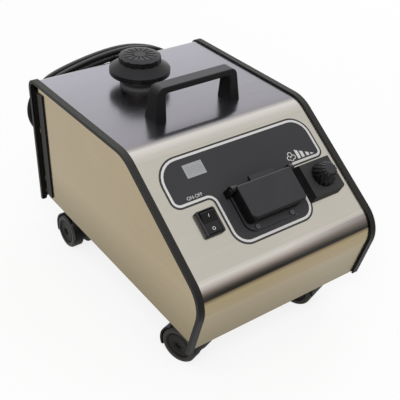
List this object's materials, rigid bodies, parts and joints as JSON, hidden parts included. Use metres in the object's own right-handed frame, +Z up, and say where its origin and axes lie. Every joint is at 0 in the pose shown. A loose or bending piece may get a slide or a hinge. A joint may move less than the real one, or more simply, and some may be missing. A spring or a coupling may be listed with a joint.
{
  "type": "jewelry steam cleaner",
  "caption": "Steam cleaner in a folded steel case on castors, with a sloped control panel, filler cap, carrying handle, hose socket and a hung mains lead.",
  "frame": {"origin": "on the floor, in the middle of the object's width and length, mains lead left out", "axes": "+X to the right as seen from the front, +Y towards the rear wall, +Z up"},
  "size_m": [0.29, 0.4771, 0.2976],
  "materials": {
    "brushed_steel": "fine straight-grain brushed stainless steel",
    "tray_steel": "plain zinc-plated sheet",
    "bright_steel": "bright plated steel",
    "boiler_steel": "welded stainless steel",
    "element_metal": "heat-tinted steel tube",
    "brass": "machined brass",
    "copper_pipe": "bare copper tube",
    "black_plastic": "satin moulded black",
    "rocker_plastic": "glossy black with white marks",
    "insert_plastic": "dark grey glass-filled plastic",
    "label_film": "printed dark film with a light border line",
    "display_glass": "grey-green liquid crystal window",
    "board_green": "solder-masked board",
    "edge_rubber": "ribbed black edge profile",
    "seal_rubber": "soft seal",
    "cord_rubber": "smooth black cord sheath",
    "plug_rubber": "moulded plug",
    "wheel_plastic": "black tread with a grey face ring"
  },
  "bodies": {
    "chassis": {"cover_shell": "brushed_steel", "base_tray": "tray_steel", "left_side_panel": "brushed_steel", "right_side_panel": "brushed_steel", "left_edge_trim": "edge_rubber", "right_edge_trim": "edge_rubber", "rear_edgings": "edge_rubber", "case_screws": "bright_steel", "carry_handle": "black_plastic", "handle_screws": "bright_steel", "panel_label": "label_film", "display_window": "display_glass", "control_board": "board_green", "switch_body": "black_plastic", "regulator_block": "black_plastic", "needle_valve": "brass", "steam_fitting": "brass", "socket_housing": "black_plastic", "socket_insert": "insert_plastic", "socket_screws": "bright_steel", "socket_hinge_pin": "bright_steel", "socket_spring": "bright_steel", "filler_neck": "boiler_steel", "neck_collar": "black_plastic", "boiler": "boiler_steel", "boiler_cradle": "tray_steel", "heating_element": "element_metal", "safety_valve": "brass", "pressure_switch": "black_plastic", "solenoid_valve": "brass", "steam_pipes": "copper_pipe", "terminal_block": "insert_plastic", "cord_gland": "black_plastic", "cord_hook": "black_plastic", "mains_cord_tail": "cord_rubber", "mains_cord_coil": "cord_rubber", "mains_cord_end": "cord_rubber", "plug_body": "plug_rubber", "plug_pins": "bright_steel", "castor_stems": "bright_steel"},
    "socket_lid": {"socket_cover": "black_plastic"},
    "rocker": {"switch_rocker": "rocker_plastic"},
    "regulator": {"regulator_knob": "black_plastic", "regulator_spindle": "bright_steel"},
    "cap_core": {"cap_plug": "black_plastic", "cap_gasket": "seal_rubber"},
    "cap_grip": {"cap_skirt": "black_plastic", "cap_knob": "black_plastic"},
    "front_left_fork": {"front_left_hood": "black_plastic"},
    "front_left_wheel_left": {"front_left_wheel_left": "wheel_plastic"},
    "front_left_wheel_right": {"front_left_wheel_right": "wheel_plastic"},
    "front_right_fork": {"front_right_hood": "black_plastic"},
    "front_right_wheel_left": {"front_right_wheel_left": "wheel_plastic"},
    "front_right_wheel_right": {"front_right_wheel_right": "wheel_plastic"},
    "rear_left_fork": {"rear_left_hood": "black_plastic"},
    "rear_left_wheel_left": {"rear_left_wheel_left": "wheel_plastic"},
    "rear_left_wheel_right": {"rear_left_wheel_right": "wheel_plastic"},
    "rear_right_fork": {"rear_right_hood": "black_plastic"},
    "rear_right_wheel_left": {"rear_right_wheel_left": "wheel_plastic"},
    "rear_right_wheel_right": {"rear_right_wheel_right": "wheel_plastic"}
  },
  "joints": [
    {"name": "socket_lid_hinge", "type": "hinge", "parent": "chassis", "child": "socket_lid", "pos_m": [0.004, -0.1406, 0.21433], "axis": [-1, 0, 0], "range_deg": [0, 110], "stiffness_Nm_per_rad": 0.01, "springref_deg": -40.11},
    {"name": "rocker_tilt", "type": "hinge", "parent": "chassis", "child": "rocker", "pos_m": [-0.083, -0.1501, 0.18693], "axis": [-1, 0, 0], "range_deg": [0, 20]},
    {"name": "regulator_turn", "type": "hinge", "parent": "chassis", "child": "regulator", "pos_m": [0.095, -0.14953, 0.18733], "axis": [0, -0.5734, 0.8193], "range_deg": [0, 300]},
    {"name": "cap_lift", "type": "slide", "parent": "chassis", "child": "cap_core", "axis": [0, 0, 1], "range_m": [0, 0.09]},
    {"name": "cap_turn", "type": "hinge", "parent": "cap_core", "child": "cap_grip", "pos_m": [-0.021, 0.09535, 0.2521], "axis": [0, 0, 1], "continuous": true},
    {"name": "front_left_swivel", "type": "hinge", "parent": "chassis", "child": "front_left_fork", "pos_m": [-0.1045, -0.17415, 0], "axis": [0, 0, 1], "continuous": true},
    {"name": "front_left_wheel_left_roll", "type": "hinge", "parent": "front_left_fork", "child": "front_left_wheel_left", "pos_m": [-0.11006, -0.15703, 0.025], "axis": [0.9511, 0.309, 0], "continuous": true},
    {"name": "front_left_wheel_right_roll", "type": "hinge", "parent": "front_left_fork", "child": "front_left_wheel_right", "pos_m": [-0.11006, -0.15703, 0.025], "axis": [0.9511, 0.309, 0], "continuous": true},
    {"name": "front_right_swivel", "type": "hinge", "parent": "chassis", "child": "front_right_fork", "pos_m": [0.092, -0.17415, 0], "axis": [0, 0, 1], "continuous": true},
    {"name": "front_right_wheel_left_roll", "type": "hinge", "parent": "front_right_fork", "child": "front_right_wheel_left", "pos_m": [0.08644, -0.15703, 0.025], "axis": [0.9511, 0.309, 0], "continuous": true},
    {"name": "front_right_wheel_right_roll", "type": "hinge", "parent": "front_right_fork", "child": "front_right_wheel_right", "pos_m": [0.08644, -0.15703, 0.025], "axis": [0.9511, 0.309, 0], "continuous": true},
    {"name": "rear_left_swivel", "type": "hinge", "parent": "chassis", "child": "rear_left_fork", "pos_m": [-0.11, 0.10435, 0], "axis": [0, 0, 1], "continuous": true},
    {"name": "rear_left_wheel_left_roll", "type": "hinge", "parent": "rear_left_fork", "child": "rear_left_wheel_left", "pos_m": [-0.11, 0.12235, 0.025], "axis": [1, 0, 0], "continuous": true},
    {"name": "rear_left_wheel_right_roll", "type": "hinge", "parent": "rear_left_fork", "child": "rear_left_wheel_right", "pos_m": [-0.11, 0.12235, 0.025], "axis": [1, 0, 0], "continuous": true},
    {"name": "rear_right_swivel", "type": "hinge", "parent": "chassis", "child": "rear_right_fork", "pos_m": [0.11, 0.10435, 0], "axis": [0, 0, 1], "continuous": true},
    {"name": "rear_right_wheel_left_roll", "type": "hinge", "parent": "rear_right_fork", "child": "rear_right_wheel_left", "pos_m": [0.11466, 0.12174, 0.025], "axis": [0.9659, -0.2588, 0], "continuous": true},
    {"name": "rear_right_wheel_right_roll", "type": "hinge", "parent": "rear_right_fork", "child": "rear_right_wheel_right", "pos_m": [0.11466, 0.12174, 0.025], "axis": [0.9659, -0.2588, 0], "continuous": true}
  ]
}
